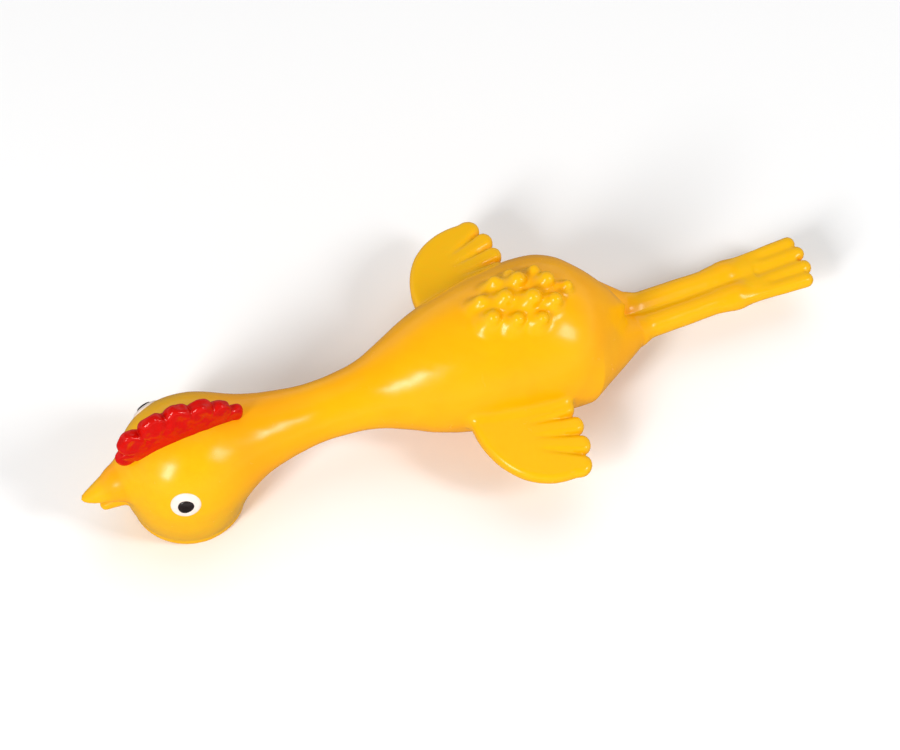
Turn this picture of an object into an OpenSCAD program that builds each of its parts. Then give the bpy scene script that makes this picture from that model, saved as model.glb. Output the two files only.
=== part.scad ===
// Stretchy rubber chicken, a finger catapult.
// The beak points to -Y and the feet to +Y, and it lies on its belly.
// Rounded yellow body, solid neck and legs, and a hollow head that goes over a fingertip.
// Where the rubber flexes it is divided on round surfaces that are centred on the flex line.

/* [Torso] */
// Greatest width of the torso
torso_w = 24; // [22:0.5:26]
// Height of the torso's and neck's axis over the plane that the belly rests on
axis_z = 11.6; // [11.2:0.1:11.7]
// Gap left between two pieces where the rubber flexes
flex_gap = 0.3; // [0.2:0.05:0.4]

/* [Neck] */
// Thinnest width of the neck
neck_w = 9; // [8.6:0.1:9.4]

/* [Head] */
// Width of the head
head_w = 19.6; // [19.2:0.2:20.4]
// Height of the head's middle
head_z = 10.4; // [10:0.1:10.8]
// Distance of the head's middle in front of the origin
head_ahead = 41.6; // [41.2:0.1:42]
// Width of the finger pocket
pocket_w = 13; // [12:0.5:13.5]
// Straight depth of the finger pocket, under its domed end
pocket_deep = 11; // [9:0.5:11]
// Width of the white of the eye
eye_w = 4.4; // [3.6:0.2:5]
// Width of the pupil
pupil_w = 2.3; // [1.6:0.1:2.8]
// Thickness of the comb at its root
comb_t = 3.6; // [3:0.2:4.6]

/* [Wings] */
// Thickness of a wing
wing_t = 2.6; // [2.2:0.1:2.8]
// Radius of the wing's round front edge
wing_front_r = 15.5; // [15:0.1:15.8]
// Radius of the wing's round outer edge
wing_side_r = 13.2; // [12.6:0.1:13.4]
// Droop of the wings below level
wing_droop = 8; // [4:1:12]

/* [Legs and feet] */
// Width of one leg
leg_w = 4; // [3.6:0.1:4.2]
// Height of the legs' middle
leg_z = 6.9; // [6.5:0.1:7.3]
// Width of one toe
toe_w = 2.3; // [2:0.1:2.4]
// Distance of the toes' ends behind the origin
toe_end = 58; // [57:0.5:59]

/* [Hidden] */
$fn = 64;

yellow = "#ffc400";
red = "#e0201c";
far = 100;   // larger than the whole model

// Where the rubber flexes: distance along Y and the radius of the round surface there
sway_y = -6.75;   sway_r = 8.2;
bend_y = -14.5;   bend_r = 5.6;
neck_pull_y = -22.4;
nod_y = -28;      nod_r = 5.8;
leg_start_y = 29.5;
hip_y = 31.4;     hip_r = 2.6;
leg_sway_y = 36;  leg_sway_r = 4.7;
leg_pull_y = 44;
ankle_y = 49.5;   ankle_r = 2.3;
wing_hinge_x = 12.7;
wing_hinge_r = 1.75;
wing_z = 11;

// Radius of the torso and neck at stations along Y: [y, radius]
neck_r = neck_w / 2;
torso_r = torso_w / 2;
stations = [
    [-38, 1.78 * neck_r], [-33, 1.53 * neck_r], [-28, 1.22 * neck_r], [-22, neck_r], [-17, 1.03 * neck_r],
    [-13, 1.18 * neck_r], [-9, 0.57 * torso_r], [-5, 0.72 * torso_r], [0, 0.85 * torso_r],
    [6, 0.95 * torso_r], [14, torso_r], [19, 0.9 * torso_r], [23, 0.62 * torso_r],
    [26, 0.3 * torso_r], [28, 0]
];
station_steps = 3;
rod_steps = 6;   // straight steps that each round end of a rod is turned from

// One Catmull-Rom value between b and c, with a and d as neighbours
function smooth(a, b, c, d, t) =
    0.5 * (2 * b + (c - a) * t + (2 * a - 5 * b + 4 * c - d) * t * t + (3 * b - a - 3 * c + d) * t * t * t);
last = len(stations) - 1;
profile = [
    for (i = [0 : last - 1], k = [0 : station_steps - 1])
        let (t = k / station_steps, a = stations[max(i - 1, 0)], d = stations[min(i + 2, last)])
        [smooth(a[1], stations[i][1], stations[i + 1][1], d[1], t),
         smooth(a[0], stations[i][0], stations[i + 1][0], d[0], t)],
    [0, stations[last][0]]
];

// Lobes of the comb: [angle forward of upright, distance from the head's middle, radius]
comb_lobes = [
    [50, 11.3, 1.5], [35.5, 13, 2.2], [17.5, 13.5, 2.25], [2, 13.4, 2.1], [-13, 13, 2], [-27.5, 12.5, 1.9],
    [-40.5, 12, 1.6]
];
// Feather lumps on the back: [x, y, size]
back_lumps = [
    [-1.7, 5, 0.8], [1.4, 5.6, 1], [-3.7, 8, 0.85], [-0.5, 8.1, 1.1], [2.9, 8.8, 0.9], [-2.4, 11, 1.1],
    [0.9, 11.6, 1.15], [3.9, 12.2, 0.8], [-3.4, 14.2, 0.75], [-1, 14.8, 1], [2.2, 15, 0.9],
    [0.3, 17.8, 0.65]
];
// Ends of a wing's feathers: [x, y, radius]
wing_tips = [[13, 12.7, 1.5], [15.9, 13, 1.6], [18.9, 12.7, 1.7], [21.8, 11.6, 1.8]];
wing_rear_y = 12;
// Middles of the two circles that a wing's front edge and its outer edge follow
wing_front = [11, 14.6];
wing_side = [10.2, 9.5];

head_r = head_w / 2;
head_y = -head_ahead;
pocket_y = head_y - 0.3;
bell_deep = 17;   // depth of the ellipse that the lower half of the head follows
bell_steps = 8;
lip = 0.5;          // how far the lip around the pocket's mouth stands out
eye_up = 20;        // angle of the eyes above level
eye_ahead = 18;     // angle of the eyes in front of sideways
eye_rise = 0.45;
pupil_rise = 0.3;
leg_r = leg_w / 2;
toe_r = toe_w / 2;
toe_start = 47;
inner_toe_x = 1.25;
outer_toe_x = 2.8;
web_t = 0.55 * leg_w;

// ---- shared shapes ----

// A ball on the neck's axis
module ball(y, r) { translate([0, y, axis_z]) sphere(r = r); }

// Everything between two distances along Y
module span(y0, y1) { translate([-far, y0, -far]) cube([2 * far, y1 - y0, 2 * far]); }

// Round rod along p to q that changes from radius a to b, turned from an outline with a round at each end
module rod(p, q, a, b) {
    d = q - p;
    l = norm(d);
    turn = acos((a - b) / l);
    translate(p) rotate([0, acos(d[2] / l), atan2(d[1], d[0])]) rotate_extrude()
        polygon(concat(
            [for (k = [0 : rod_steps]) let (w = 180 + k * (turn - 180) / rod_steps) a * [sin(w), cos(w)]],
            [for (k = [0 : rod_steps]) let (w = turn - k * turn / rod_steps) [b * sin(w), l + b * cos(w)]]
        ));
}

// Torso and neck as one turned shape
module body() {
    translate([0, 0, axis_z]) rotate([-90, 0, 0]) rotate_extrude()
        polygon(concat([[0, stations[0][0]]], profile));
}

// What lies on the plane under the belly is flat
module above_floor() { translate([-far, -far, 0]) cube([2 * far, 2 * far, far]); }

function body_top(x, y) = axis_z + sqrt(pow(lookup(y, [for (p = profile) [p[1], p[0]]]), 2) - x * x);

// ---- torso ----

module torso_solid() {
    intersection() {
        body();
        union() { span(sway_y, far); ball(sway_y, sway_r); }
        above_floor();
    }
}

module torso() { color(yellow) torso_solid(); }

// Bulge from the torso's side to the top of the leg, cut flat where the leg starts
module left_thigh() {
    color(yellow) difference() {
        rod([4.1, 18.5, 9.2], [leg_r + 0.3, 28.9, leg_z], 7.5, 2.5);
        body();
        span(leg_start_y, far);
        translate([-far, -far, -far]) cube([far, 2 * far, 2 * far]);
    }
}
module right_thigh() { mirror([1, 0, 0]) left_thigh(); }

// A leg of the pair and its half of the web between them, from y0 to y1
module leg_bar(y0, y1) {
    translate([leg_r, y0, leg_z]) rotate([-90, 0, 0]) cylinder(r = leg_r, h = y1 - y0);
    translate([0, y0, leg_z - web_t / 2]) cube([leg_r, y1 - y0, web_t]);
}

// Round surface about a line along X, for pieces that lift
module lift_round(y, r) { translate([-far, y, leg_z]) rotate([0, 90, 0]) cylinder(r = r, h = 2 * far); }

// Round surface about an upright line, for pieces that swing sideways
module swing_round(y, r) { translate([0, y, -far]) cylinder(r = r, h = 2 * far); }

module left_leg_root() {
    color(yellow) intersection() {
        leg_bar(leg_start_y, hip_y + hip_r);
        union() { span(0, hip_y); lift_round(hip_y, hip_r); }
    }
}
module right_leg_root() { mirror([1, 0, 0]) left_leg_root(); }

// Short rounded feathers that stand up and back from the middle of the back
module back_feathers() {
    color(yellow) difference() {
        for (l = back_lumps)
            let (x = l[0], y = l[1], s = l[2], z = body_top(x, y))
            rod([x, y - 0.2, z - 0.5], [1.1 * x, y + 0.8 * s, z + 1.6 * s], 1.15 * s, 0.95 * s);
        body();
    }
}

// ---- wings ----

// Outline of a wing seen from above
module wing_outline() {
    difference() {
        union() {
            intersection() {
                translate(wing_front) circle(r = wing_front_r);
                translate(wing_side) circle(r = wing_side_r);
                translate([0, -far]) square([far, far + wing_rear_y]);
            }
            for (t = wing_tips) translate([t[0], t[1]]) circle(r = t[2]);
        }
        translate([-far, -far]) square([far, 2 * far]);
    }
}

// Wing blade, rounded off along its hinge, turned down by the droop
module wing_blade() {
    translate([wing_hinge_x, 0, wing_z]) rotate([0, wing_droop, 0])
        translate([-wing_hinge_x, 0, -wing_t / 2]) linear_extrude(wing_t) wing_outline();
}

// Round surface about the wing's hinge line
module wing_round(r) {
    translate([wing_hinge_x, -far, wing_z]) rotate([-90, 0, 0]) cylinder(r = r, h = 2 * far);
}

module wing_root() {
    color(yellow) difference() {
        intersection() {
            wing_blade();
            union() {
                translate([0, -far, -far]) cube([wing_hinge_x, 2 * far, 2 * far]);
                wing_round(wing_hinge_r);
            }
        }
        body();
    }
}
module left_wing_root() { wing_root(); }
module right_wing_root() { mirror([1, 0, 0]) wing_root(); }

module wing() {
    color(yellow) difference() {
        wing_blade();
        translate([-far, -far, -far]) cube([far + wing_hinge_x, 2 * far, 2 * far]);
        wing_round(wing_hinge_r + flex_gap);
    }
}
module left_wing() { wing(); }
module right_wing() { mirror([1, 0, 0]) wing(); }

// ---- neck ----

module neck_root() {
    color(yellow) difference() {
        intersection() {
            body();
            span(-far, sway_y);
            union() { span(bend_y, far); ball(bend_y, bend_r); }
        }
        ball(sway_y, sway_r + flex_gap);
    }
}

module neck_lower() {
    color(yellow) difference() {
        intersection() { body(); span(neck_pull_y, bend_y); }
        ball(bend_y, bend_r + flex_gap);
    }
}

module neck_upper() {
    color(yellow) intersection() {
        body();
        span(-far, neck_pull_y - flex_gap);
        union() { span(nod_y, far); ball(nod_y, nod_r); }
    }
}

// ---- head ----

// Radius of the head below its middle, at height z
function bell_w(z) = head_r * sqrt(1 - pow((head_z - z) / bell_deep, 2));

// The head over a vertical line: a ball above, a bell below with a lip around the pocket's mouth
module head_outer() {
    translate([0, head_y, head_z]) sphere(r = head_r);
    translate([0, head_y, 0]) rotate_extrude() polygon(concat(
        [for (k = [0 : bell_steps]) let (z = head_z * (1 - k / bell_steps)) [bell_w(z), z]],
        [[0, 0], [0, head_z]]
    ));
    translate([0, head_y, 0]) rotate_extrude() polygon([
        [0, 0], [bell_w(0), 0], [bell_w(0) + lip, lip], [bell_w(2 * lip) + lip, 2 * lip],
        [bell_w(3 * lip), 3 * lip], [0, 3 * lip]
    ]);
    intersection() { body(); span(head_y, nod_y); }
}

module head_shell() {
    color(yellow) difference() {
        head_outer();
        ball(nod_y, nod_r + flex_gap);
        translate([0, pocket_y, -1]) cylinder(r = pocket_w / 2, h = pocket_deep + 1);
        translate([0, pocket_y, pocket_deep]) sphere(r = pocket_w / 2);
    }
}

module upper_beak_solid() {
    rod([0, head_y - 7.4, head_z + 1.9], [0, head_y - 9.6, head_z + 0.9], 3.9, 2.9);
    rod([0, head_y - 9.6, head_z + 0.9], [0, -57.2, head_z - 1.3], 2.9, 0.8);
}

module upper_beak() {
    color(yellow) difference() { upper_beak_solid(); head_outer(); }
}

module lower_beak() {
    color(yellow) difference() {
        rod([0, head_y - 8.2, head_z - 2.2], [0, -54, head_z - 3.7], 2.4, 0.8);
        head_outer();
        upper_beak_solid();
    }
}

// Fin along the top of the head, with round lobes and a thinner edge than root
module comb() {
    a0 = comb_lobes[0][0];
    a1 = comb_lobes[len(comb_lobes) - 1][0];
    arc = [for (a = [a1 : (a0 - a1) / 12 : a0]) a];
    color(red) difference() {
        translate([0, head_y, head_z]) rotate([90, 0, 90]) {
            translate([0, 0, -comb_t / 2]) linear_extrude(comb_t)
                polygon(concat([[0, 0]], [for (a = arc) 11.6 * [-sin(a), cos(a)]]));
            translate([0, 0, -0.4 * comb_t]) linear_extrude(0.8 * comb_t)
                for (l = comb_lobes) translate(l[1] * [-sin(l[0]), cos(l[0])]) circle(r = l[2]);
        }
        head_outer();
    }
}

// Turns +Z at the head's middle to face out of the left eye
module at_left_eye() {
    translate([0, head_y, head_z]) rotate([0, 0, -eye_ahead]) rotate([0, 90 - eye_up, 0]) children();
}

// Part of a thin shell on the head's ball, within a round outline
module eye_cap(w, inner, outer) {
    intersection() {
        cylinder(r = w / 2, h = far);
        difference() { sphere(r = outer); sphere(r = inner); }
    }
}

module left_eye() { color("white") at_left_eye() eye_cap(eye_w, head_r, head_r + eye_rise); }
module right_eye() { mirror([1, 0, 0]) left_eye(); }
module left_pupil() {
    color("#181414") at_left_eye() eye_cap(pupil_w, head_r + eye_rise, head_r + eye_rise + pupil_rise);
}
module right_pupil() { mirror([1, 0, 0]) left_pupil(); }

// ---- legs and feet ----

module left_leg_upper() {
    color(yellow) difference() {
        intersection() {
            leg_bar(hip_y, leg_sway_y + leg_sway_r);
            union() { span(hip_y, leg_sway_y); swing_round(leg_sway_y, leg_sway_r); }
        }
        lift_round(hip_y, hip_r + flex_gap);
    }
}
module right_leg_upper() { mirror([1, 0, 0]) left_leg_upper(); }

module left_leg_middle() {
    color(yellow) difference() {
        leg_bar(leg_sway_y, leg_pull_y);
        swing_round(leg_sway_y, leg_sway_r + flex_gap);
    }
}
module right_leg_middle() { mirror([1, 0, 0]) left_leg_middle(); }

// Two toes side by side that spread towards their ends, on a thin sole
module toes() {
    sole_t = 0.7 * toe_w;
    sole_end = toe_end - 2.2 * toe_r;
    rod([inner_toe_x, toe_start, leg_z], [inner_toe_x, toe_end - toe_r, leg_z], toe_r, toe_r);
    rod([outer_toe_x, toe_start, leg_z], [outer_toe_x + 0.8, toe_end - 1.8 * toe_r, leg_z], toe_r, toe_r);
    translate([0, toe_start, leg_z - sole_t / 2]) cube([outer_toe_x, sole_end - toe_start, sole_t]);
}

// Lower leg with the small spur on its outer side
module left_leg_lower() {
    color(yellow) intersection() {
        union() {
            leg_bar(leg_pull_y + flex_gap, toe_start + 1);
            translate([2 * leg_r - 0.2, 46, leg_z]) sphere(r = 0.9);
            toes();
        }
        union() { span(0, ankle_y); lift_round(ankle_y, ankle_r); }
    }
}
module right_leg_lower() { mirror([1, 0, 0]) left_leg_lower(); }

module left_foot() {
    color(yellow) difference() {
        toes();
        span(-far, ankle_y);
        lift_round(ankle_y, ankle_r + flex_gap);
    }
}
module right_foot() { mirror([1, 0, 0]) left_foot(); }

torso();
left_thigh();
right_thigh();
left_leg_root();
right_leg_root();
back_feathers();
left_wing_root();
right_wing_root();
neck_root();
neck_lower();
neck_upper();
head_shell();
upper_beak();
lower_beak();
comb();
left_eye();
right_eye();
left_pupil();
right_pupil();
left_wing();
right_wing();
left_leg_upper();
right_leg_upper();
left_leg_middle();
right_leg_middle();
left_leg_lower();
right_leg_lower();
left_foot();
right_foot();
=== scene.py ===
"""Looks of the stretchy rubber chicken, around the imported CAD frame.

One moulded yellow skin, a red comb and painted eyes.
"""

import math

import bmesh
import bpy
import numpy as np
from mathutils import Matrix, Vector


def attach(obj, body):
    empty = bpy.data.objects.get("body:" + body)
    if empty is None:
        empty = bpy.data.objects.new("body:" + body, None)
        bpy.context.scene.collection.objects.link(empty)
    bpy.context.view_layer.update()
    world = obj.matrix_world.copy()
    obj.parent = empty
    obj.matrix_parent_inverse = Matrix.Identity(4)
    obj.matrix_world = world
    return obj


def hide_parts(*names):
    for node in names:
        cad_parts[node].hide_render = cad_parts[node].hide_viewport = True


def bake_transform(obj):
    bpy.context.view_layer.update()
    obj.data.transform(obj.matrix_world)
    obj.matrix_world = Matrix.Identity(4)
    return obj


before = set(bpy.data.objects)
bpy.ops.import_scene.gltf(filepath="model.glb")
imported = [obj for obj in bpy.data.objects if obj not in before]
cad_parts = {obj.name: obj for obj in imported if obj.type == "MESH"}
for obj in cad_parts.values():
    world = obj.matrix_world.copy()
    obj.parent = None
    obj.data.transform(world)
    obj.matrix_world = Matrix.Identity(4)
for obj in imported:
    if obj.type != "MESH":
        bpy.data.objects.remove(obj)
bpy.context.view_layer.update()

MM = 0.001
VOXEL = 0.3          # mm, grid step of the yellow skin
COMB_VOXEL = 0.14    # mm, grid step of the comb
FAR = 99.0                              # mm, a distance further away than any shape

# ---------------------------------------------------------------- sizes in mm, close to the CAD's

AXIS_Z = 11.6
TORSO_R = 12.0
NECK_R = 4.5
HEAD_R = 9.8
HEAD_Y, HEAD_Z = -41.6, 10.4
BELL_DEEP = 17.0
LIP, LIP_Z, LIP_SPREAD = 0.3, 0.9, 0.55      # lip round the pocket: how far out, at what height, how wide
BEAK_R = 3.7, 2.85, 0.75                     # upper beak at its root, where the point starts, at its tip
BEAK_TIP_Y, LOWER_BEAK_TIP_Y = -57.7, -54.2
POCKET_Y, POCKET_R, POCKET_DEEP = -41.9, 6.5, 11.0
LEG_R, LEG_Z = 2.0, 6.9
LEG_START_Y, ANKLE_Y, FOOT_Y = 24, 45.5, 50
WEB_HALF, WEB_X, WEB_END_Y = 1.05, 2, 49     # web between the legs: half its thickness, half its width, end
TOE_R = 1.15
TOE_END = 58.0
TOE_START_Y = 43
INNER_TOE_X, OUTER_TOE_X = (1.15, 1.3), (2.7, 3.4)    # where a toe starts and ends
SOLE_HALF, SOLE_X, SOLE_Y, SOLE_REACH = 0.75, 3.6, 50.4, 5.8
SPUR, SPUR_R = ((2.8, 43.9), (3.45, 45.6)), (0.9, 0.55)
THIGH_START, THIGH_END_Y, THIGH_R = (4.0, 18.2, 9.9), 28.8, (7.6, 2.45)
WING_HINGE_X, WING_Z = 12.7, 11.0
WING_REAR_Y = 12.0
WING_FRONT, WING_FRONT_R = (11.0, 14.6), 15.5
WING_SIDE, WING_SIDE_R = (10.2, 9.5), 13.2
WING_DROOP = math.radians(8)
WING_HALF, WING_EDGE, WING_GROOVE = 1.4, 0.9, 0.55    # half its thickness, rim rounding, groove depth
EYE_UP, EYE_AHEAD = math.radians(20), math.radians(18)
EYE_R, EYE_FOOT, EYE_CROWN = 2.2, -0.15, 0.38
PUPIL_R, PUPIL_FOOT, PUPIL_CROWN = 1.15, 0.25, 0.6

# Radius of torso and neck along Y: (y, radius)
STATIONS = [
    (-47, 0.9 * NECK_R), (-42, 1.5 * NECK_R), (-38, 1.68 * NECK_R), (-33, 1.5 * NECK_R),
    (-28, 1.21 * NECK_R), (-22, NECK_R), (-17, 1.03 * NECK_R), (-13, 1.18 * NECK_R),
    (-9, 0.57 * TORSO_R), (-5, 0.72 * TORSO_R), (0, 0.85 * TORSO_R), (6, 0.95 * TORSO_R),
    (14, TORSO_R), (19, 0.9 * TORSO_R), (23, 0.62 * TORSO_R), (26, 0.3 * TORSO_R), (28, 0),
]

# Feather lumps on the back: (x, y, size, lean outwards, lean back)
BACK_LUMPS = [
    (-1.7, 5.0, 0.80, -0.3, 0.9), (1.4, 5.6, 1.00, 0.4, 0.6), (-3.7, 8.0, 0.85, -0.7, 0.9),
    (-0.5, 8.1, 1.10, -0.1, 0.9), (2.9, 8.8, 0.90, 0.6, 0.7), (-2.4, 11.0, 1.10, -0.4, 0.8),
    (0.9, 11.6, 1.15, 0.2, 1.0), (3.9, 12.2, 0.80, 0.9, 0.8), (-3.4, 14.2, 0.75, -0.6, 0.8),
    (-1.0, 14.8, 1.00, -0.3, 1.0), (2.2, 15.0, 0.90, 0.3, 0.7), (0.3, 17.8, 0.65, 0.2, 0.9),
    (-4.6, 11.0, 0.55, -0.8, 0.6),
]

# Wing feathers in the wing's plane: (root x, root y, tip x, tip y, tip radius)
WING_FEATHERS = [
    (12.3, 5.5, 13.0, 12.7, 1.5), (14.4, 5.2, 15.9, 13.0, 1.6), (16.2, 5.0, 18.9, 12.7, 1.7),
    (17.6, 4.6, 21.8, 11.6, 1.8),
]

# Lobes of the comb: (degrees forward of upright, distance from the head's middle, radius)
COMB_LOBES = [
    (50, 11.3, 1.5), (35.5, 13.0, 2.2), (17.5, 13.5, 2.25), (2, 13.4, 2.1), (-13, 13.0, 2.0),
    (-27.5, 12.5, 1.9), (-40.5, 12.0, 1.6),
]
COMB_T = 3.6
COMB_MIDDLE, COMB_SPREAD = 4, 46              # degrees, its middle and how far it reaches either way
COMB_PLATE_R, COMB_END_DROP = 12.9, 1.5       # radius of the plate under the lobes, less at its ends
COMB_GROOVE = 0.16                            # depth between two lobes
COMB_EDGE = 0.6                               # rounding of the comb's rim
COMB_SUNK = 0.35                              # how far the comb reaches into the head

# Where the skin is cut into pieces along Y, each piece spanning one flexing place: (name, y from, y to,
# body towards the torso, body away from it, CAD nodes that it stands for, y where the flexing starts, and
# y where it ends)
PAST_BEAK, PAST_TOES = -60, 60
SEGMENTS = [
    ("head_and_throat", PAST_BEAK, -24.5, "neck_high", "head",
     ["head_shell", "upper_beak", "lower_beak"], -24.5, -31.5),
    ("neck_front", -24.5, -17.5, "neck_low", "neck_high", ["neck_upper"], -17.5, -24.5),
    ("neck_middle", -17.5, -11, "neck_base", "neck_low", ["neck_lower"], -11, -17.5),
    ("torso_skin", -11, 29, "torso", "neck_base",
     ["torso", "neck_root", "left_thigh", "right_thigh", "back_feathers", "left_wing_root",
      "right_wing_root"], -2.5, -11),
    ("hips", 29, 33.6, "torso", "leg_base", ["left_leg_root", "right_leg_root"], 29, 33.6),
    ("leg_tops", 33.6, 38.6, "leg_base", "leg_mid", ["left_leg_upper", "right_leg_upper"], 33.6, 38.6),
    ("shanks", 38.6, 47.3, "leg_mid", "leg_low",
     ["left_leg_middle", "right_leg_middle", "left_leg_lower", "right_leg_lower"], 38.6, 47.3),
    ("toes", 47.3, PAST_TOES, "leg_low", "feet", ["left_foot", "right_foot"], 47.3, 51.5),
]
WING_CUT_X = 12.3

# Blocks of space that hold the skin and the comb, as two corners each
SKIN_BLOCK = (-24.6, -59.1, -0.9), (24.6, 59.1, 27.8)
COMB_BLOCK = (-3.2, -53, 15.5), (3.2, -31, 27.3)

# How far from the surface its creases are looked for
SKIN_REACHES = (0.8, 1.8, 4.0)
COMB_REACHES = (0.35, 0.7)

# ---------------------------------------------------------------- implicit shapes, negative inside, in mm


def smooth_min(a, b, k):
    """Two shapes joined, with a fillet of about k."""
    h = np.clip(0.5 + 0.5 * (b - a) / k, 0, 1)
    return b + (a - b) * h - k * h * (1 - h)


def smooth_max(a, b, k):
    """Where two shapes overlap, with edges rounded by about k."""
    return -smooth_min(-a, -b, k)


def rounded_meet(a, b, edge):
    """Where two shapes overlap, with the edge between them rounded by about edge."""
    a, b = a + edge, b + edge
    return np.sqrt(np.maximum(a, 0) ** 2 + np.maximum(b, 0) ** 2) + np.minimum(np.maximum(a, b), 0) - edge


def rod(p, a, b, ra, rb):
    """Distance to a rod from a to b whose radius goes from ra to rb, with round ends."""
    a, d = np.array(a, np.float32), np.array(b, np.float32) - np.array(a, np.float32)
    x, y, z = p[0] - a[0], p[1] - a[1], p[2] - a[2]
    t = np.clip((x * d[0] + y * d[1] + z * d[2]) / float(d @ d), 0, 1)
    return np.sqrt((x - t * d[0]) ** 2 + (y - t * d[1]) ** 2 + (z - t * d[2]) ** 2) - (ra + t * (rb - ra))


def station_radius():
    """Radius and slope of torso and neck on a fine row of y, by a smooth curve through the stations."""
    s = np.array(STATIONS, float)
    ys, rs = [], []
    for i in range(len(s) - 1):
        a, b, c, d = s[max(i - 1, 0)], s[i], s[i + 1], s[min(i + 2, len(s) - 1)]
        t = np.linspace(0, 1, 40, endpoint=False)[:, None]
        square, cube = 2 * a - 5 * b + 4 * c - d, 3 * b - a - 3 * c + d
        q = 0.5 * (2 * b + (c - a) * t + square * t ** 2 + cube * t ** 3)
        ys.append(q[:, 0])
        rs.append(q[:, 1])
    y = np.linspace(s[0][0], s[-1][0], 1200)
    r = np.interp(y, np.concatenate(ys), np.concatenate(rs))
    for _ in range(60):  # softens the small kinks at the stations
        r[1:-1] = 0.25 * r[:-2] + 0.5 * r[1:-1] + 0.25 * r[2:]
    return y, r, np.gradient(r, y)


ROW_Y, ROW_R, ROW_SLOPE = station_radius()


def body_radius(y):
    """Radius of torso and neck at y."""
    return np.interp(y, ROW_Y, ROW_R)


def torso_and_neck(p):
    """One round body of changing radius, closed by cones past its two ends."""
    x, y, z = p
    row = y[:1, :, :1] if y.ndim == 3 else y
    r = np.interp(row, ROW_Y, ROW_R)
    r = r - 2.5 * np.maximum(row - ROW_Y[-1], 0) - 1.0 * np.maximum(ROW_Y[0] - row, 0)
    slope = np.interp(row, ROW_Y, ROW_SLOPE)
    return (np.sqrt(x * x + (z - AXIS_Z) ** 2) - r) / np.sqrt(1 + np.minimum(slope ** 2, 9))


def bell_radius(z):
    """Radius of the head below its middle, at height z."""
    return HEAD_R * np.sqrt(np.maximum(1 - ((HEAD_Z - z) / BELL_DEEP) ** 2, 0.05))


def head(p):
    """A ball above, and a bell with a lip at its mouth below."""
    x, y, z = p
    across = np.sqrt(x * x + (y - HEAD_Y) ** 2)
    ball = np.sqrt(across ** 2 + (z - HEAD_Z) ** 2) - HEAD_R
    lip = LIP * np.exp(-((z - LIP_Z) / LIP_SPREAD) ** 2)
    bell = across - bell_radius(z) - lip
    return np.where(z > HEAD_Z, ball, bell)


def pocket(p):
    """The hollow for a fingertip, with a round end."""
    x, y, z = p
    across = np.sqrt(x * x + (y - POCKET_Y) ** 2)
    up = np.maximum(z - POCKET_DEEP, 0)
    return np.sqrt(across ** 2 + up ** 2) - POCKET_R


def upper_beak(p):
    """A full root and a long point, both flat underneath."""
    root, bend = (0, HEAD_Y - 7.2, HEAD_Z + 1.8), (0, HEAD_Y - 9.8, HEAD_Z + 0.8)
    tip = (0, BEAK_TIP_Y, HEAD_Z - 1.4)
    full = rod(p, root, bend, BEAK_R[0], BEAK_R[1])
    point = rod(p, bend, tip, BEAK_R[1], BEAK_R[2])
    return smooth_max(smooth_min(full, point, 0.5), HEAD_Z - 2.4 - p[2] - 0.1 * (p[1] - HEAD_Y), 0.5)


def lower_beak(p):
    """Wider than it is high, with a gap to the upper beak."""
    q = (p[0] / 1.3, p[1], p[2])
    return rod(q, (0, HEAD_Y - 8.0, HEAD_Z - 2.4), (0, LOWER_BEAK_TIP_Y, HEAD_Z - 4.1), 1.7, 0.75)


def wing(p):
    """Either wing, as both are the same distance from the middle plane."""
    x, y, z = np.abs(p[0]), p[1], p[2]
    out, up = x - WING_HINGE_X, z - WING_Z
    u = WING_HINGE_X + out * math.cos(WING_DROOP) - up * math.sin(WING_DROOP)
    v = out * math.sin(WING_DROOP) + up * math.cos(WING_DROOP)
    front = np.sqrt((u - WING_FRONT[0]) ** 2 + (y - WING_FRONT[1]) ** 2) - WING_FRONT_R
    outer = np.sqrt((u - WING_SIDE[0]) ** 2 + (y - WING_SIDE[1]) ** 2) - WING_SIDE_R
    blade = smooth_max(smooth_max(front, outer, 2.5), y - WING_REAR_Y + 0.4, 1.6)
    nearest = np.full(np.broadcast(u, y).shape, FAR, np.float32)
    second = nearest.copy()
    for rx, ry, tx, ty, r in WING_FEATHERS:
        dx, dy = tx - rx, ty - ry
        t = np.clip(((u - rx) * dx + (y - ry) * dy) / (dx * dx + dy * dy), 0, 1)
        f = np.sqrt((u - rx - t * dx) ** 2 + (y - ry - t * dy) ** 2) - r
        second = np.minimum(second, np.maximum(f, nearest))
        nearest = np.minimum(nearest, f)
    outline = smooth_min(blade, nearest, 0.5)
    along = np.clip((y - 6.5) / 5.0, 0, 1)
    groove = WING_GROOVE * along * np.exp(-((second - nearest) / 0.65) ** 2)
    reach = np.clip((u - 12) / 11, 0, 1)
    half = WING_HALF - 0.25 * reach - 0.1 * along - groove
    return rounded_meet(outline, np.abs(v) - half, WING_EDGE)


def back_lump(p, lump):
    """A short rounded feather that leans out of the back."""
    x, y, size, out, back = lump
    z = AXIS_Z + math.sqrt(body_radius(y) ** 2 - x * x)
    top = (x + 0.6 * out * size, y + 0.8 * back * size, z + 1.08 * size)
    return rod(p, (x, y - 0.3, z - 0.6), top, 1.75 * size, 1.15 * size)


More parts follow.
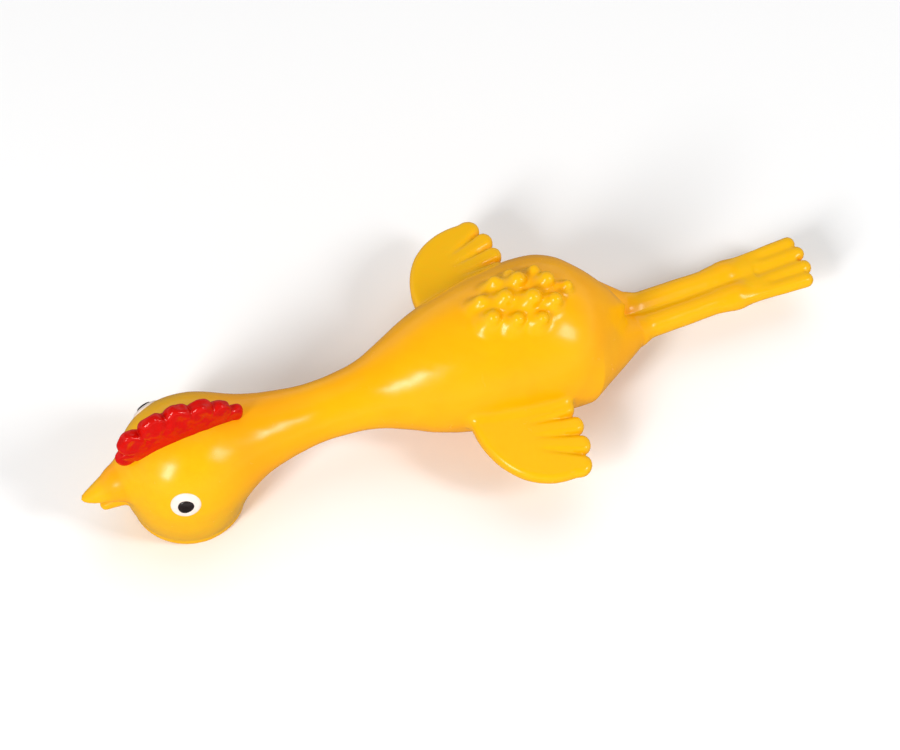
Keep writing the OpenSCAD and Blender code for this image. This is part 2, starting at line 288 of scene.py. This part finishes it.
def legs(p):
    """Both legs with the web between them, the spurs, and four toes."""
    x, y, z = np.abs(p[0]), p[1], p[2]
    q = (x, y, z)
    bar = rod(q, (LEG_R, LEG_START_Y, LEG_Z), (LEG_R - 0.1, ANKLE_Y, LEG_Z), LEG_R, 0.88 * LEG_R)
    foot = rod(q, (LEG_R + 0.05, ANKLE_Y, LEG_Z), (LEG_R, FOOT_Y, LEG_Z), 0.85 * LEG_R, 1.0)
    bar = smooth_min(bar, foot, 1.2)
    web = np.maximum(np.abs(z - LEG_Z) - WEB_HALF, np.maximum(x - WEB_X, y - WEB_END_Y))
    both = smooth_min(bar, web, 0.6)
    (x0, x1), end = INNER_TOE_X, TOE_END - TOE_R
    inner = rod(q, (x0, TOE_START_Y, LEG_Z + 0.1), (x1, end, LEG_Z), 1.0, TOE_R)
    (x0, x1), end = OUTER_TOE_X, TOE_END - 1.5 * TOE_R
    outer = rod(q, (x0, TOE_START_Y, LEG_Z + 0.1), (x1, end, LEG_Z), 1.0, TOE_R)
    sole_outline = np.maximum(x - SOLE_X, np.abs(y - SOLE_Y) - SOLE_REACH)
    sole = np.maximum(np.abs(z - LEG_Z) - SOLE_HALF, sole_outline)
    toes = smooth_min(smooth_min(inner, outer, 0.4), sole, 0.5)
    spur = rod(q, (*SPUR[0], LEG_Z), (*SPUR[1], LEG_Z), *SPUR_R)
    return smooth_min(smooth_min(both, toes, 0.9), spur, 0.9)


def thighs(p):
    """Both thighs, each a cone that tapers into its leg."""
    q = (np.abs(p[0]), p[1], p[2])
    return rod(q, THIGH_START, (LEG_R + 0.3, THIGH_END_Y, LEG_Z + 0.1), *THIGH_R)


def unevenness(p):
    """The slight waviness of soft rubber out of a mould, in mm."""
    x, y, z = p
    return (0.03 * np.sin(0.55 * x + 1.3) * np.sin(0.47 * y + 0.4 * z)
            + 0.016 * np.sin(0.9 * y + 0.7 * x) * np.cos(0.8 * z - 0.3 * y)
            + 0.01 * np.sin(1.9 * x - 1.1 * y + 0.5) * np.sin(1.7 * z + 0.6 * y))


class Field:
    """A block of space with one implicit value at each grid point."""

    def __init__(self, low, high, step):
        self.low, self.step = np.array(low, np.float32), step
        self.count = np.ceil((np.array(high) - np.array(low)) / step).astype(int) + 1
        self.value = np.full(self.count, FAR, np.float32)

    def part(self, low, high):
        """Slices and coordinates of the grid points inside a box."""
        a = np.clip(np.floor((np.array(low) - self.low) / self.step), 0, self.count - 1).astype(int)
        b = np.clip(np.ceil((np.array(high) - self.low) / self.step) + 1, 1, self.count).astype(int)
        axes = [(self.low[k] + self.step * np.arange(a[k], b[k])).astype(np.float32) for k in range(3)]
        where = tuple(slice(a[k], b[k]) for k in range(3))
        return where, (axes[0][:, None, None], axes[1][None, :, None], axes[2][None, None, :])

    def everywhere(self):
        """Slices and coordinates of all the grid points."""
        return self.part(self.low, self.low + self.step * self.count)

    def add(self, shape, low, high, k):
        """Joins a shape on, with a fillet of about k, looked at only inside a box."""
        where, p = self.part(low, high)
        self.value[where] = smooth_min(self.value[where], shape(p), k)

    def cut(self, shape, low, high, k):
        """Takes a shape away, with rounded edges of about k."""
        where, p = self.part(low, high)
        self.value[where] = smooth_max(self.value[where], -shape(p), k)

    def sample(self, points):
        """Value at free points, by trilinear interpolation."""
        q = np.clip((points - self.low) / self.step, 0, self.count - 1.001)
        i = q.astype(int)
        f = q - i
        out = np.zeros(len(points))
        for corner in range(8):
            o = np.array([corner & 1, corner >> 1 & 1, corner >> 2])
            w = np.prod(np.where(o, f, 1 - f), axis=1)
            j = i + o
            out += w * self.value[j[:, 0], j[:, 1], j[:, 2]]
        return out

    def slope(self, points):
        """Direction and size of the steepest rise at free points."""
        h = 0.8 * self.step
        g = np.zeros((len(points), 3))
        for k in range(3):
            e = np.zeros(3)
            e[k] = h
            g[:, k] = (self.sample(points + e) - self.sample(points - e)) / (2 * h)
        size = np.maximum(np.linalg.norm(g, axis=1), 1e-6)
        return g / size[:, None], size

    def surface(self):
        """Points and four-sided faces of the surface where the value is zero."""
        inside = self.value < 0
        last = np.array(inside.shape) - 1
        corners = [inside[i:last[0] + i, j:last[1] + j, k:last[2] + k]
                   for i in (0, 1) for j in (0, 1) for k in (0, 1)]
        total = sum(c.astype(np.int8) for c in corners)
        cells = np.argwhere((total > 0) & (total < 8))
        number = np.full(total.shape, -1, np.int32)
        number[tuple(cells.T)] = np.arange(len(cells))
        place, crossings = np.zeros((len(cells), 3)), np.zeros(len(cells))
        for axis in range(3):
            others = [k for k in range(3) if k != axis]
            for m in range(4):
                a = np.zeros(3, int)
                a[others[0]], a[others[1]] = m & 1, m >> 1
                b = a.copy()
                b[axis] = 1
                va, vb = (self.value[tuple((cells + o).T)] for o in (a, b))
                hit = (va < 0) != (vb < 0)
                t = np.where(hit, va / np.where(hit, va - vb, 1), 0)
                place += np.where(hit[:, None], a + t[:, None] * (b - a), 0)
                crossings += hit
        points = self.low + self.step * (cells + place / crossings[:, None])
        faces = []
        for axis in range(3):
            o1, o2 = [k for k in range(3) if k != axis]
            low_side = [slice(1, -1)] * 3
            low_side[axis] = slice(0, -1)
            high_side = list(low_side)
            high_side[axis] = slice(1, None)
            first, second = inside[tuple(low_side)], inside[tuple(high_side)]
            edge = np.argwhere(first != second)
            rising = first[tuple(edge.T)]
            at = edge + np.where(np.arange(3) == axis, 0, 1)
            ring = []
            for d1, d2 in ((0, 0), (1, 0), (1, 1), (0, 1)):
                c = at.copy()
                c[:, o1] -= d1
                c[:, o2] -= d2
                ring.append(number[tuple(c.T)])
            quad = np.stack(ring, axis=1)
            flip = rising if axis == 1 else ~rising
            quad[flip] = quad[flip][:, ::-1]
            faces.append(quad)
        for _ in range(3):
            direction, size = self.slope(points)
            points = points - direction * (self.sample(points) / size).clip(-0.5, 0.5)[:, None] * 0.8
        return points, np.concatenate(faces)


def skin_field():
    """The whole yellow moulding, joined shape by shape, with the finger pocket taken away."""
    field = Field(*SKIN_BLOCK, VOXEL)
    where, p = field.everywhere()
    field.value[where] = torso_and_neck(p)
    field.add(head, (-11, -53, -1), (11, -29, 21.5), 3.2)
    field.add(thighs, (-13, 8, -1), (13, 33, 20), 0.9)
    field.add(legs, (-7.5, 22, 1.5), (7.5, 60, 12.5), 0.9)
    for side in (-1, 1):
        low, high = sorted((side * 7.0, side * 24.6))
        field.add(wing, (low, -6, 4), (high, 18, 16), 1.5)
    for lump in BACK_LUMPS:
        x, y = lump[:2]
        field.add(lambda q, l=lump: back_lump(q, l), (x - 4, y - 5, 17), (x + 4, y + 7, 28), 1.3)
    field.add(lower_beak, (-6, -60, 1), (6, -45, 14), 0.7)
    field.add(upper_beak, (-7, -60, 3), (7, -45, 19), 1.6)
    field.cut(pocket, (-9, -50, -1), (9, -33, 19), 0.6)
    where, p = field.everywhere()
    field.value[where] = smooth_max(field.value[where] + unevenness(p), -p[2] + 0.02, 0.5)
    return field


# ---------------------------------------------------------------- meshes


def new_mesh(name, points, faces):
    """A mesh from points in mm."""
    mesh = bpy.data.meshes.new(name)
    mesh.from_pydata((points * MM).tolist(), [], faces.tolist())
    mesh.update()
    return mesh


def split(bm, axis, at):
    """Cuts a bmesh across an axis. Returns the low and the high part, each closed where it was cut."""
    parts = []
    normal = Vector([1.0 if k == axis else 0.0 for k in range(3)])
    for keep_low in (True, False):
        half = bm.copy()
        geometry = half.verts[:] + half.edges[:] + half.faces[:]
        cut = bmesh.ops.bisect_plane(
            half, geom=geometry, dist=1e-8, plane_co=normal * at * MM, plane_no=normal,
            clear_outer=keep_low, clear_inner=not keep_low)
        edges = [e for e in cut["geom_cut"] if isinstance(e, bmesh.types.BMEdge)]
        bmesh.ops.holes_fill(half, edges=edges, sides=0)
        parts.append(half)
    return parts


def finish_skin(name, bm, field, reaches=SKIN_REACHES):
    """Makes an object of a cut part: smooth normals from the field, flat cut ends, and the attributes that
    its material reads."""
    mesh = bpy.data.meshes.new(name)
    bm.to_mesh(mesh)
    bm.free()
    count = len(mesh.vertices)
    co = np.zeros(count * 3)
    mesh.vertices.foreach_get("co", co)
    points = co.reshape(-1, 3) / MM
    normal, _ = field.slope(points)
    mesh.polygons.foreach_set("use_smooth", [True] * len(mesh.polygons))
    loops = np.zeros(len(mesh.loops), np.int32)
    mesh.loops.foreach_get("vertex_index", loops)
    corner = normal[loops]
    for face in mesh.polygons:
        if len(face.vertices) > 8:  # a cut end, as the skin's own faces have fewer corners
            corner[list(face.loop_indices)] = face.normal
    mesh.normals_split_custom_set(corner.tolist())
    # thin feeds a painted glow and crease feeds painted shade in the materials
    write_attribute(mesh, "thin", thinness(field, points, normal))
    write_attribute(mesh, "crease", crease(field, points, normal, reaches))
    rest = mesh.attributes.new("rest_mm", "FLOAT_VECTOR", "POINT")
    rest.data.foreach_set("vector", points.astype(np.float32).ravel())
    obj = bpy.data.objects.new(name, mesh)
    bpy.context.scene.collection.objects.link(obj)
    return obj


def write_attribute(mesh, name, values):
    attribute = mesh.attributes.new(name, "FLOAT", "POINT")
    attribute.data.foreach_set("value", values.astype(np.float32))


def thinness(field, points, normal):
    """From 0 where the rubber is thick under a point to 1 where it is thin."""
    deep = -field.sample(points - normal * 2.6)
    return np.clip(1.25 - deep / 2.4, 0, 1)


def crease(field, points, normal, reaches):
    """From 0 in the open to 1 deep in a corner between two surfaces."""
    shut = np.zeros(len(points))
    for reach in reaches:
        shut += np.clip(1 - field.sample(points + normal * reach) / reach, 0, 1)
    return np.clip(2.6 * shut / len(reaches) - 0.9, 0, 1)


def make_skin(material):
    """The yellow moulding, cut into pieces at the places where it flexes, with the CAD nodes that each
    piece stands for hidden.
    """
    field = skin_field()
    points, faces = field.surface()
    whole = bmesh.new()
    whole.from_mesh(new_mesh("skin", points, faces))
    pieces = []
    for name, low, high, near, far, nodes, start, end in SEGMENTS:
        part, whole = (whole, None) if high == PAST_TOES else split(whole, 1, high)
        if name == "torso_skin":
            right, part = split(part, 0, -WING_CUT_X)
            part, left = split(part, 0, WING_CUT_X)
            for side, blade, sign in (("left", left, 1), ("right", right, -1)):
                piece = finish_skin(side + "_wing_skin", blade, field)
                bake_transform(piece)
                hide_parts(side + "_wing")
                pieces.append(piece)
        piece = finish_skin(name, part, field)
        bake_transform(piece)
        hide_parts(*nodes)
        pieces.append(piece)
    for piece in pieces:
        piece.data.materials.append(material)


# ---------------------------------------------------------------- comb


def comb_shape(p):
    """Distance to the comb, in the head's own frame: y forward is negative, z up."""
    x, y, z = p[0], p[1] - HEAD_Y, p[2] - HEAD_Z
    out = np.sqrt(y * y + z * z)
    angle = np.degrees(np.arctan2(-y, z))
    ends = np.clip(np.abs(angle - COMB_MIDDLE) / COMB_SPREAD, 0, 1) ** 2
    plate = np.maximum(out - COMB_PLATE_R + COMB_END_DROP * ends,
                       np.maximum(angle - COMB_LOBES[0][0], COMB_LOBES[-1][0] - angle) * 0.2)
    nearest = np.full(np.broadcast(y, z).shape, FAR, np.float32)
    second = nearest.copy()
    for turn, reach, r in COMB_LOBES:
        a = math.radians(turn)
        cy, cz = -reach * math.sin(a), reach * math.cos(a)
        lobe = np.sqrt((y - cy) ** 2 + (z - cz) ** 2) - r
        second = np.minimum(second, np.maximum(lobe, nearest))
        nearest = np.minimum(nearest, lobe)
        plate = smooth_min(plate, lobe, 0.3)
    rise = np.clip((out - 10.0) / 5.5, 0, 1)
    groove = COMB_GROOVE * np.clip((out - 13.0) / 1.5, 0, 1) * np.exp(-((second - nearest) / 0.7) ** 2)
    half = 0.5 * COMB_T * (1 - 0.5 * rise) * (1 - 0.45 * ends) - groove
    solid = rounded_meet(plate, np.abs(x) - half, COMB_EDGE)
    return solid + comb_crinkle(x, y, z) * (0.25 + 0.75 * np.clip((out - 11.5) / 2.5, 0, 1))


def comb_crinkle(x, y, z):
    """Small irregular bumps over the comb, in mm."""
    waves = np.random.default_rng(12).normal(0, 1.9, (9, 4))
    return sum(0.04 * np.sin(a * x + b * y + c * z + 2 * shift) for a, b, c, shift in waves)


def comb_seat(p):
    """The ball inside the head that the comb's root ends on."""
    return np.sqrt(p[0] ** 2 + (p[1] - HEAD_Y) ** 2 + (p[2] - HEAD_Z) ** 2) - (HEAD_R - COMB_SUNK)


def make_comb(material):
    """The red fin on the head."""
    field = Field(*COMB_BLOCK, COMB_VOXEL)
    where, p = field.everywhere()
    field.value[where] = comb_shape(p)
    field.cut(comb_seat, (-4, -54, 15), (4, -30, 28), 0.3)
    points, faces = field.surface()
    bm = bmesh.new()
    bm.from_mesh(new_mesh("comb", points, faces))
    comb = finish_skin("comb_red", bm, field, COMB_REACHES)
    comb.data.materials.append(material)
    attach(comb, "head")
    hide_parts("comb")


# ---------------------------------------------------------------- eyes


def eye_cap(name, sign, radius, foot, crown, material, wobble):
    """A round patch on the head's ball that is domed and has a rounded rim.

    foot and crown are how far its rim and its centre lie over the ball.
    """
    foot, crown = HEAD_R + foot, HEAD_R + crown
    rings, around = 14, 64
    ahead = np.array([0, -1.0, 0])
    up = np.array([0, 0, 1.0])
    side = np.array([sign * 1.0, 0, 0])
    out = (math.cos(EYE_UP) * math.cos(EYE_AHEAD) * side + math.cos(EYE_UP) * math.sin(EYE_AHEAD) * ahead
           + math.sin(EYE_UP) * up)
    e1 = np.cross(up, out)
    e1 /= np.linalg.norm(e1)
    e2 = np.cross(out, e1)
    centre = np.array([0, HEAD_Y, HEAD_Z])
    points, faces = [], []
    for k in range(rings + 1):
        s = k / rings
        flat = radius * math.sin(0.5 * math.pi * s)
        lift = foot + (crown - foot) * math.cos(0.5 * math.pi * s) ** 0.6
        for j in range(around):
            a = 2 * math.pi * j / around
            r = flat * (1 + wobble * math.sin(2 * a + 0.7) + 0.5 * wobble * math.sin(3 * a + sign))
            q = out * math.sqrt(max(lift ** 2 - r ** 2, 0)) + e1 * r * math.cos(a) + e2 * r * math.sin(a)
            points.append(centre + q)
    for k in range(rings):
        for j in range(around):
            n = (j + 1) % around
            faces.append((k * around + j, k * around + n, (k + 1) * around + n, (k + 1) * around + j))
    bm = bmesh.new()
    verts = [bm.verts.new(Vector(q * MM)) for q in points]
    for f in faces:
        bm.faces.new([verts[i] for i in f])
    bm.faces.new([verts[rings * around + j] for j in range(around)])
    bmesh.ops.remove_doubles(bm, verts=bm.verts, dist=1e-7)
    bmesh.ops.recalc_face_normals(bm, faces=bm.faces)
    mesh = bpy.data.meshes.new(name)
    bm.to_mesh(mesh)
    bm.free()
    for face in mesh.polygons:
        face.use_smooth = len(face.vertices) <= 4
    obj = bpy.data.objects.new(name, mesh)
    bpy.context.scene.collection.objects.link(obj)
    obj.data.materials.append(material)
    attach(obj, "head")
    return obj


def make_eyes(white, black):
    """A white patch and a pupil on each side of the head."""
    for side, sign in (("left", 1), ("right", -1)):
        eye = eye_cap(side + "_eye_white", sign, EYE_R, EYE_FOOT, EYE_CROWN, white, 0.02)
        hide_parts(side + "_eye")
        pupil = eye_cap(side + "_pupil_black", sign, PUPIL_R, PUPIL_FOOT, PUPIL_CROWN, black,
                        0.05)
        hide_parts(side + "_pupil")


# ---------------------------------------------------------------- materials

MIX_A, MIX_B, MIX_RESULT = 6, 7, 2  # a Mix node's sockets for colours, whose names others share

YELLOW = (0.945, 0.395, 0.0), (0.965, 0.43, 0.0)    # clouded between these two
# Head colour: partly the rubber's own deeper tone, partly painted shade
YELLOW_HEAD_TONE_AND_SHADE = (0.95, 0.33, 0.0)
# Painted shade on the lower parts
YELLOW_PAINTED_LOW_SHADE = (0.94, 0.33, 0.0)
# Painted glow where the rubber is thin, as though light shone through it
YELLOW_PAINTED_THIN_GLOW = (0.82, 0.47, 0.002)
# Painted shade in creases and corners
YELLOW_PAINTED_CREASE_SHADE = (0.95, 0.31, 0.0)
RED = (0.46, 0.001, 0.0), (0.58, 0.001, 0.0)        # clouded between these two
# Painted shade in the comb's creases
RED_PAINTED_CREASE_SHADE = (0.36, 0.002, 0.002)
# Painted glow where the comb is thin, as though light shone through it
RED_PAINTED_THIN_GLOW = (0.70, 0.008, 0.003)
EYE_WHITE = (0.84, 0.71, 0.62), (0.90, 0.79, 0.71)
PUPIL_BLACK = (0.013, 0.008, 0.008), (0.02, 0.013, 0.013)
FLOOR_PALE = (0.90, 0.90, 0.90), (0.94, 0.94, 0.94)


class Nodes:
    """Short helper for building a node material."""

    def __init__(self, name):
        self.material = bpy.data.materials.new(name)
        self.material.use_nodes = True
        self.tree = self.material.node_tree
        self.tree.nodes.clear()
        out = self.add("ShaderNodeOutputMaterial")
        self.shader = self.add("ShaderNodeBsdfPrincipled")
        self.link(self.shader.outputs[0], out.inputs["Surface"])

    def add(self, kind, **settings):
        node = self.tree.nodes.new(kind)
        for key, value in settings.items():
            setattr(node, key, value)
        return node

    def link(self, a, b):
        self.tree.links.new(a, b)

    def set(self, **values):
        """Sets even values straight on the shader's sockets."""
        for key, value in values.items():
            self.shader.inputs[key.replace("_", " ")].default_value = value

    def attribute(self, name):
        return self.add("ShaderNodeAttribute", attribute_name=name)

    def noise(self, where, scale, detail=3.0, rough=0.5, distortion=0.0):
        node = self.add("ShaderNodeTexNoise")
        node.inputs["Scale"].default_value = scale
        node.inputs["Detail"].default_value = detail
        node.inputs["Roughness"].default_value = rough
        node.inputs["Distortion"].default_value = distortion
        self.link(where, node.inputs["Vector"])
        return node.outputs["Fac"]

    def mix(self, factor, a, b):
        node = self.add("ShaderNodeMix", data_type="RGBA")
        self.feed(factor, node.inputs["Factor"])
        self.feed(a, node.inputs[MIX_A])
        self.feed(b, node.inputs[MIX_B])
        return node.outputs[MIX_RESULT]

    def feed(self, value, socket):
        if isinstance(value, (int, float)):
            socket.default_value = value
        elif isinstance(value, tuple):
            socket.default_value = (*value, 1.0)
        else:
            self.link(value, socket)

    def math(self, operation, a, b=0.0, clamp=False):
        node = self.add("ShaderNodeMath", operation=operation, use_clamp=clamp)
        self.feed(a, node.inputs[0])
        self.feed(b, node.inputs[1])
        return node.outputs[0]

    def ramp(self, value, low, high, to_low=0.0, to_high=1.0):
        node = self.add("ShaderNodeMapRange", clamp=True)
        for socket, v in zip(node.inputs, (value, low, high, to_low, to_high)):
            self.feed(v, socket)
        return node.outputs[0]

    def bump(self, height, distance, strength=1.0, after=None):
        node = self.add("ShaderNodeBump")
        node.inputs["Distance"].default_value = distance
        node.inputs["Strength"].default_value = strength
        self.link(height, node.inputs["Height"])
        if after is not None:
            self.link(after, node.inputs["Normal"])
        return node.outputs[0]


def yellow_rubber():
    """Glossy yellow rubber. Warmer towards the head, partly its own deeper tone and partly painted shade;
    painted shade low down and in creases; a painted glow, lighter and greener, where it is thin.
    """
    n = Nodes("yellow_rubber")
    place = n.attribute("rest_mm").outputs["Vector"]
    thin = n.attribute("thin").outputs["Fac"]
    painted_crease_shade_mask = n.attribute("crease").outputs["Fac"]
    cloud = n.noise(place, 0.16, 3.0, 0.55, 0.4)
    mottle = n.noise(place, 0.9, 3.0, 0.6)
    main = n.mix(n.ramp(cloud, 0.3, 0.7), *YELLOW)
    apart = n.add("ShaderNodeSeparateXYZ")
    n.link(place, apart.inputs[0])
    # Warmer towards the head: partly the rubber's own deeper tone, partly painted shade
    ahead = n.ramp(apart.outputs["Y"], -20.0, -38.0)
    main = n.mix(n.math("MULTIPLY", ahead, 0.7), main, YELLOW_HEAD_TONE_AND_SHADE)
    # Painted shade: the lower parts made warmer and darker, standing in for the shade underneath
    low = n.ramp(apart.outputs["Z"], 14.0, 2.0)
    main = n.mix(n.math("MULTIPLY", low, 0.4), main, YELLOW_PAINTED_LOW_SHADE)
    # Painted glow: thin rubber made lighter and greener, as though light shone through it
    painted_thin_glow_amount = n.math("MULTIPLY", thin, n.ramp(mottle, 0.2, 0.8, 0.55, 0.85))
    colour = n.mix(painted_thin_glow_amount, main, YELLOW_PAINTED_THIN_GLOW)
    # Painted shade: creases and corners made warmer and darker
    colour = n.mix(n.math("MULTIPLY", painted_crease_shade_mask, 0.36), colour, YELLOW_PAINTED_CREASE_SHADE)
    n.link(colour, n.shader.inputs["Base Color"])
    smear = n.noise(place, 0.35, 4.0, 0.6, 0.8)
    speck = n.noise(place, 6.0, 2.0, 0.5)
    n.link(n.ramp(n.math("ADD", smear, n.math("MULTIPLY", speck, 0.25)), 0.4, 0.95, 0.19, 0.3),
           n.shader.inputs["Roughness"])
    fine = n.noise(place, 3.0, 2.0, 0.5)
    soft = n.noise(place, 0.8, 2.0, 0.5)
    n.link(n.bump(fine, 0.00001, 0.1, n.bump(soft, 0.00003, 0.25)), n.shader.inputs["Normal"])
    n.set(IOR=1.36, Specular_IOR_Level=0.5, Specular_Tint=(1.0, 0.97, 0.9, 1.0))
    return n.material


def red_rubber():
    """Wet-looking red rubber, with painted shade in creases and a painted glow, lighter, where it is thin.
    """
    n = Nodes("red_rubber")
    place = n.attribute("rest_mm").outputs["Vector"]
    thin = n.attribute("thin").outputs["Fac"]
    painted_crease_shade_mask = n.attribute("crease").outputs["Fac"]
    cloud = n.noise(place, 0.7, 3.0, 0.6, 0.5)
    main = n.mix(n.ramp(cloud, 0.3, 0.7), *RED)
    # Painted shade: the comb's creases made darker
    colour = n.mix(n.math("MULTIPLY", painted_crease_shade_mask, 0.8), main, RED_PAINTED_CREASE_SHADE)
    # Painted glow: thin parts of the comb made lighter
    colour = n.mix(n.math("MULTIPLY", thin, 0.35), colour, RED_PAINTED_THIN_GLOW)
    n.link(colour, n.shader.inputs["Base Color"])
    fine = n.noise(place, 0.9, 1.5, 0.5, 0.3)
    n.link(n.bump(fine, 0.0003, 0.5), n.shader.inputs["Normal"])
    n.link(n.ramp(n.noise(place, 1.2, 2.0), 0.3, 0.7, 0.10, 0.18), n.shader.inputs["Roughness"])
    n.set(IOR=1.4, Specular_IOR_Level=0.5, Specular_Tint=(1.0, 0.7, 0.66, 1.0))
    return n.material


def eye_paint(name, low, high, roughness, gloss):
    """Glossy paint, clouded between two colours."""
    n = Nodes(name)
    place = n.add("ShaderNodeTexCoord").outputs["Object"]
    n.link(n.mix(n.ramp(n.noise(place, 900.0, 3.0), 0.3, 0.7), low, high), n.shader.inputs["Base Color"])
    n.link(n.bump(n.noise(place, 1500.0, 2.0), 0.00002, 0.4), n.shader.inputs["Normal"])
    uneven = n.noise(place, 500.0, 2.0)
    n.link(n.ramp(uneven, 0.3, 0.7, roughness, roughness + 0.1), n.shader.inputs["Roughness"])
    n.set(Specular_IOR_Level=gloss)
    return n.material


# ---------------------------------------------------------------- studio


def floor_material():
    n = Nodes("pale_floor")
    place = n.add("ShaderNodeTexCoord").outputs["Object"]
    n.link(n.mix(n.noise(place, 4.0, 2.0), *FLOOR_PALE), n.shader.inputs["Base Color"])
    n.set(Roughness=0.9)
    return n.material


def soft_light(name, place, size, power):
    """A white rectangle of light that shines at the middle of the floor."""
    data = bpy.data.lights.new(name, "AREA")
    data.shape = "RECTANGLE"
    data.size, data.size_y = size
    data.energy = power
    lamp = bpy.data.objects.new(name, data)
    bpy.context.scene.collection.objects.link(lamp)
    lamp.location = place
    lamp.rotation_mode = "QUATERNION"
    lamp.rotation_quaternion = (-Vector(place)).to_track_quat("-Z", "Y")


CAMERA_AZIMUTH, CAMERA_ELEVATION = math.radians(68), math.radians(59)
CAMERA_DISTANCE, CAMERA_LENS = 0.62, 168.0
AIM = Vector((0.0, 0.0, 0.009))

# Lights, with places as in_view takes them, and sizes in metres
KEY_PLACE, KEY_SIZE, KEY_WATTS = (-0.34, 0.5, 0.44), (0.15, 0.3), 3.5
FILL_PLACE, FILL_SIZE, FILL_WATTS = (0.5, 0.2, 0.48), (0.13, 0.24), 1.8
OVERHEAD_FROM, OVERHEAD_STRENGTH, OVERHEAD_SPREAD = (0.1, -0.45, 1.0), 0.75, math.radians(50)

# The surround's strength at the horizon, overhead, and as a share of the first below the horizon
HORIZON, ZENITH, BELOW = 0.75, 0.24, 0.22


def in_view(right, toward, up):
    """A place given as metres to the camera's right, towards it over the floor, and up."""
    a = CAMERA_AZIMUTH
    return (right * math.cos(a) + toward * math.sin(a), right * math.sin(a) - toward * math.cos(a), up)


def make_world():
    """A white surround that is bright near the horizon, and dim below it and overhead.

    Gloss would show a bright one there as a haze.
    """
    world = bpy.data.worlds.new("studio")
    bpy.context.scene.world = world
    world.use_nodes = True
    nodes, links = world.node_tree.nodes, world.node_tree.links
    place = nodes.new("ShaderNodeTexCoord").outputs["Generated"]
    apart = nodes.new("ShaderNodeSeparateXYZ")
    height = nodes.new("ShaderNodeMapRange")
    height.interpolation_type = "SMOOTHSTEP"
    for name, value in (("From Min", 0.1), ("From Max", 0.75), ("To Min", HORIZON), ("To Max", ZENITH)):
        height.inputs[name].default_value = value
    below = nodes.new("ShaderNodeMapRange")
    for name, value in (("From Min", -0.12), ("From Max", 0.0), ("To Min", BELOW), ("To Max", 1.0)):
        below.inputs[name].default_value = value
    both = nodes.new("ShaderNodeMath")
    both.operation = "MULTIPLY"
    links.new(place, apart.inputs[0])
    links.new(apart.outputs["Z"], height.inputs["Value"])
    links.new(apart.outputs["Z"], below.inputs["Value"])
    links.new(height.outputs["Result"], both.inputs[0])
    links.new(below.outputs["Result"], both.inputs[1])
    links.new(both.outputs[0], nodes["Background"].inputs["Strength"])
    nodes["Background"].inputs["Color"].default_value = (1, 1, 1, 1)


def make_studio():
    """A plain pale floor, the surround, a soft overhead light, and two soft lights that give the gloss."""
    bpy.ops.mesh.primitive_plane_add(size=30)
    floor = bpy.context.object
    floor.name = "floor"
    floor.data.materials.append(floor_material())
    floor.visible_glossy = False
    make_world()
    sun = bpy.data.objects.new("overhead", bpy.data.lights.new("overhead", "SUN"))
    bpy.context.scene.collection.objects.link(sun)
    sun.data.energy, sun.data.angle = OVERHEAD_STRENGTH, OVERHEAD_SPREAD
    sun.rotation_mode = "QUATERNION"
    sun.rotation_quaternion = (-Vector(in_view(*OVERHEAD_FROM))).to_track_quat("-Z", "Y")
    sun.visible_glossy = False
    soft_light("key", in_view(*KEY_PLACE), KEY_SIZE, KEY_WATTS)
    soft_light("fill", in_view(*FILL_PLACE), FILL_SIZE, FILL_WATTS)
    bpy.context.scene.view_settings.view_transform = "Standard"


def make_camera():
    """A long lens that looks down steeply at the whole chicken."""
    data = bpy.data.cameras.new("camera")
    data.lens = CAMERA_LENS
    data.clip_start, data.clip_end = 0.02, 20
    camera = bpy.data.objects.new("camera", data)
    bpy.context.scene.collection.objects.link(camera)
    a, e = CAMERA_AZIMUTH, CAMERA_ELEVATION
    back = Vector((math.sin(a) * math.cos(e), -math.cos(a) * math.cos(e), math.sin(e)))
    camera.location = AIM + back * CAMERA_DISTANCE
    camera.rotation_mode = "QUATERNION"
    camera.rotation_quaternion = (-back).to_track_quat("-Z", "Y")
    bpy.context.scene.camera = camera


make_camera()
make_studio()
make_skin(yellow_rubber())
make_comb(red_rubber())
make_eyes(eye_paint("eye_white", *EYE_WHITE, 0.25, 0.5), eye_paint("pupil_black", *PUPIL_BLACK, 0.16, 0.35))
